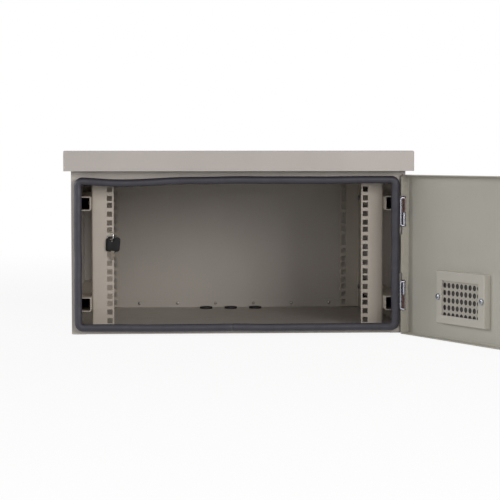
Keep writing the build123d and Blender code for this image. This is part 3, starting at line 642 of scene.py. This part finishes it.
def key_grip(eye, tilt):
    """A moulded key head: for each point of a rounded rectangle, a band from the eye's rim to the
    outline and back behind, its edges eased in and out by up to 1 mm."""
    corners = [[key_right, key_top], [key_left, key_top], [key_left, key_bottom], [key_right, key_bottom]]
    outline = eased(corners, key_corners, 14)
    ring = outline / np.linalg.norm(outline, axis=1)[:, None] * key_eye
    way = (outline - ring) / np.linalg.norm(outline - ring, axis=1)[:, None]
    bands = ((ring, eye_section), (outline, rim_section * (-1, 1)), (ring, eye_back))
    flat = np.concatenate([edge + section[:, :1, None] * way for edge, section in bands])
    depth = np.concatenate([section[:, 1] for _, section in bands])
    c, s = math.cos(math.radians(tilt)), math.sin(math.radians(tilt))
    x = eye[0] + c * flat[..., 0] - s * flat[..., 1]
    z = eye[2] + s * flat[..., 0] + c * flat[..., 1]
    y = np.broadcast_to(eye[1] - depth[:, None], x.shape)
    return [(np.stack([x, y, z], -1), True, True)]


for number, (eye, tilt) in enumerate(key_places, 1):
    piece(
        f"key_{number}_grip", key_grip(eye, tilt), "cabinet", key_plastic,
        [f"key_{number}_head"], 50,
    )


# Floor, light and camera


def white_for_view(tree):
    """One for rays that see the background straight, by reflection or through glass; else nothing."""
    path = tree.nodes.new("ShaderNodeLightPath")
    seen = path.outputs["Is Camera Ray"]
    for name in ("Is Glossy Ray", "Is Transmission Ray"):
        either = tree.nodes.new("ShaderNodeMath")
        either.operation = "MAXIMUM"
        tree.links.new(seen, either.inputs[0])
        tree.links.new(path.outputs[name], either.inputs[1])
        seen = either.outputs[0]
    return seen


world = bpy.data.worlds.new("studio")
bpy.context.scene.world = world
world.use_nodes = True
sky = world.node_tree
sky.nodes.clear()
room_light = sky.nodes.new("ShaderNodeBackground")
room_light.inputs["Color"].default_value = (1.0, 0.985, 0.965, 1)
room_light.inputs["Strength"].default_value = 0.1
seen_white = sky.nodes.new("ShaderNodeBackground")
seen_white.inputs["Color"].default_value = (1, 1, 1, 1)
choose = sky.nodes.new("ShaderNodeMixShader")
sky.links.new(white_for_view(sky), choose.inputs[0])
sky.links.new(room_light.outputs[0], choose.inputs[1])
sky.links.new(seen_white.outputs[0], choose.inputs[2])
sky.links.new(choose.outputs[0], sky.nodes.new("ShaderNodeOutputWorld").inputs["Surface"])

floor_mesh = bpy.data.meshes.new("studio_floor")
span = 30.0
floor_mesh.from_pydata(
    [(-span, -span, 0), (span, -span, 0), (span, span, 0), (-span, span, 0)], [], [(0, 1, 2, 3)]
)
floor_paper = bpy.data.materials.new("floor_paper")
floor_paper.use_nodes = True
paper = floor_paper.node_tree
paper.nodes.clear()
matt = paper.nodes.new("ShaderNodeBsdfDiffuse")
matt.inputs["Color"].default_value = (0.9, 0.9, 0.9, 1)
glow = paper.nodes.new("ShaderNodeEmission")
both = paper.nodes.new("ShaderNodeMixShader")
reach = paper.nodes.new("ShaderNodeVectorMath")
reach.operation = "LENGTH"
paper.links.new(paper.nodes.new("ShaderNodeTexCoord").outputs["Object"], reach.inputs[0])
far_white = ranged(paper, reach.outputs["Value"], 0.9, 1.0, 0.7, 2.4)
share = paper.nodes.new("ShaderNodeMath")
share.operation = "MULTIPLY"
paper.links.new(white_for_view(paper), share.inputs[0])
paper.links.new(far_white, share.inputs[1])
paper.links.new(share.outputs[0], both.inputs[0])
paper.links.new(matt.outputs[0], both.inputs[1])
paper.links.new(glow.outputs[0], both.inputs[2])
paper.links.new(both.outputs[0], paper.nodes.new("ShaderNodeOutputMaterial").inputs["Surface"])
floor_mesh.materials.append(floor_paper)
studio_floor = bpy.data.objects.new("studio_floor", floor_mesh)
bpy.context.scene.collection.objects.link(studio_floor)


def soft_box(name, place, target, width, height, power, colour):
    """A rectangular area lamp aimed at a point."""
    lamp = bpy.data.lights.new(name, "AREA")
    lamp.shape = "RECTANGLE"
    lamp.size, lamp.size_y = width, height
    lamp.energy = power
    lamp.color = colour
    made = bpy.data.objects.new(name, lamp)
    bpy.context.scene.collection.objects.link(made)
    made.location = place
    made.rotation_euler = (Vector(target) - Vector(place)).to_track_quat("-Z", "Y").to_euler()


warm, cool = (1.0, 0.97, 0.95), (0.97, 0.99, 1.0)
soft_box("right_lamp", (1.85, -3.17, 1.03), (0.0, -0.1, 0.16), 2.0, 1.2, 61.0, warm)
soft_box("front_lamp", (-0.8, -3.6, 0.9), (0.0, -0.1, 0.16), 1.2, 1.0, 13.0, warm)
soft_box("left_lamp", (-3.2, -0.5, 1.3), (0.4, -0.5, 0.16), 1.6, 1.6, 50.0, cool)
soft_box("top_lamp", (0.0, -0.3, 3.0), (0.0, -0.3, 0.0), 1.8, 1.8, 14.0, warm)

camera_place = (-0.12525, -3.26245, 0.3208)
yaw, pitch, roll = 0.0477, 0.0555, -0.0007
focal_pixels, picture_pixels = 1700.0, 500.0
camera_data = bpy.data.cameras.new("camera")
camera_data.sensor_width = 36.0
camera_data.lens = focal_pixels / picture_pixels * camera_data.sensor_width
camera_data.clip_end = 100.0
camera = bpy.data.objects.new("camera", camera_data)
bpy.context.scene.collection.objects.link(camera)
camera.matrix_world = (
    Matrix.Translation(camera_place)
    @ Matrix.Rotation(-yaw, 4, "Z")
    @ Matrix.Rotation(math.pi / 2 - pitch, 4, "X")
    @ Matrix.Rotation(roll, 4, "Z")
)
bpy.context.scene.camera = camera
bpy.context.scene.view_settings.view_transform = "Standard"
